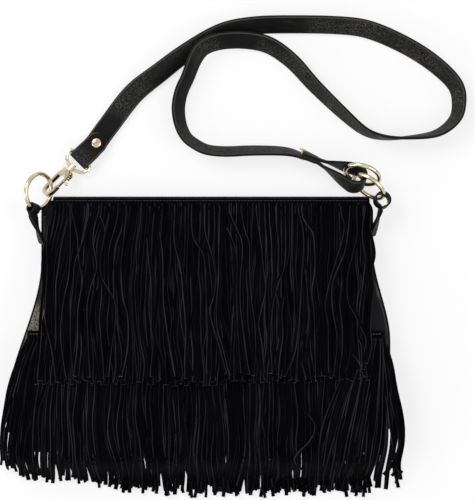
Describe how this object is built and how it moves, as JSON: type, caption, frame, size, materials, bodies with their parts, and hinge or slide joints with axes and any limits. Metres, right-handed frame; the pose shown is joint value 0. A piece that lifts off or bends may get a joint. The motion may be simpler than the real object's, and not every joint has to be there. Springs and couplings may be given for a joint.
{
  "type": "fringed shoulder bag",
  "caption": "Flat suede and leather shoulder bag with a flap, tiers of cut fringe, ring tabs and a strap that clips on.",
  "frame": {"origin": "on the outer face of the back panel, 2 mm above the middle of its height and on the bag's middle line", "axes": "+Z out of the bag's front, away from the back panel it lies on; +Y towards the mouth and the flap's fold; +X to the right seen from the front"},
  "size_m": [0.4271, 0.4413, 0.0529],
  "materials": {
    "leather": "soft grained black leather, slightly worn to brown-grey at the folds",
    "suede": "matt black suede with a short nap",
    "strap_leather": "dark grey-black strap leather, rough on its underside",
    "gold": "polished pale gold plating"
  },
  "bodies": {
    "bag": {"back_panel": "leather", "front_panel": "leather", "side_gusset_left": "leather", "side_gusset_right": "leather", "bottom_gusset": "leather", "flap": "leather", "left_tab": "leather", "right_tab": "leather", "upper_fringe": "suede", "lower_fringe": "suede", "snap_socket": "gold", "snap_stud": "gold", "strap_rivet_left": "gold", "strap_rivet_right": "gold", "clip_eye": "gold", "strap": "strap_leather"},
    "left_ring": {"left_ring": "gold"},
    "clip_hook": {"clip_hook": "gold", "clip_trigger_pin": "gold"},
    "clip_trigger": {"clip_trigger": "gold"},
    "right_ring": {"right_ring": "gold"},
    "strap_ring": {"strap_ring": "gold"}
  },
  "joints": [
    {"name": "left_ring_swing", "type": "hinge", "parent": "bag", "child": "left_ring", "pos_m": [-0.15749, 0.10879, 0.02163], "axis": [-0.5932, 0.2809, 0.7544], "range_deg": [-4, 5]},
    {"name": "clip_swivel", "type": "hinge", "parent": "bag", "child": "clip_hook", "pos_m": [-0.115, 0.155, 0.0068], "axis": [-0.7099, -0.7036, 0.0305], "range_deg": [-3, 2]},
    {"name": "trigger_pivot", "type": "hinge", "parent": "clip_hook", "child": "clip_trigger", "pos_m": [-0.12664, 0.13785, 0.01217], "axis": [0.5253, -0.5579, -0.6425], "range_deg": [0, 20], "stiffness_Nm_per_rad": 0.02, "springref_deg": -5.73},
    {"name": "right_ring_swing", "type": "hinge", "parent": "bag", "child": "right_ring", "pos_m": [0.16358, 0.11887, 0.0172], "axis": [-0.2352, -0.3121, -0.9205], "range_deg": [-6, 0]},
    {"name": "strap_ring_swing", "type": "hinge", "parent": "bag", "child": "strap_ring", "pos_m": [0.12949, 0.14292, 0.01405], "axis": [-0.0257, 0.4932, 0.8695], "range_deg": [0, 3.5]}
  ]
}
